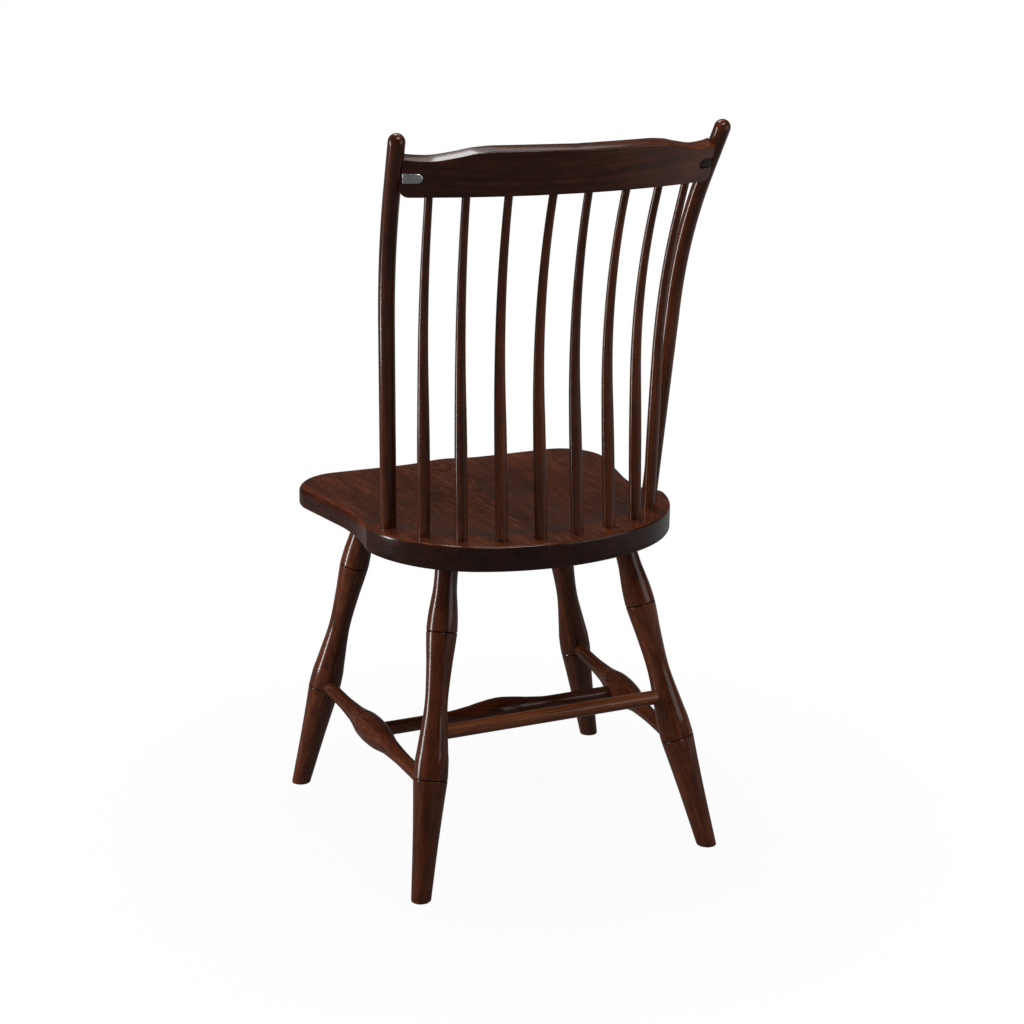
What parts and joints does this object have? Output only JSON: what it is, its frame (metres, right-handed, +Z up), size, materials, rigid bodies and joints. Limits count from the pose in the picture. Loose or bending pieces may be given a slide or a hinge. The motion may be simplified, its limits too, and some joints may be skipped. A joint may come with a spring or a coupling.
{
  "type": "thumb-back Windsor side chair",
  "caption": "Dark stained wooden Windsor side chair: saddled plank seat, turned splayed legs with stretchers, bent posts and spindles under a bowed crest rail.",
  "frame": {"origin": "on the floor under the middle of the chair's bounding box", "axes": "+Z up, the seat's front edge towards -Y and the back towards +Y, the sitter's left towards +X"},
  "size_m": [0.4812, 0.4558, 0.9503],
  "materials": {
    "stained_wood": "dark stained, glossy lacquer",
    "plate_steel": "satin"
  },
  "bodies": {
    "root": {"seat": "stained_wood", "leg_front_left": "stained_wood", "leg_front_right": "stained_wood", "leg_rear_left": "stained_wood", "leg_rear_right": "stained_wood", "side_stretcher_left": "stained_wood", "side_stretcher_right": "stained_wood", "centre_stretcher": "stained_wood", "rear_stretcher": "stained_wood", "back_post_left": "stained_wood", "back_post_right": "stained_wood", "crest_rail": "stained_wood", "crest_plate_left": "plate_steel", "crest_plate_right": "plate_steel", "spindle_left_1": "stained_wood", "spindle_left_2": "stained_wood", "spindle_left_3": "stained_wood", "spindle_left_4": "stained_wood", "spindle_right_1": "stained_wood", "spindle_right_2": "stained_wood", "spindle_right_3": "stained_wood", "spindle_right_4": "stained_wood"}
  },
  "joints": []
}
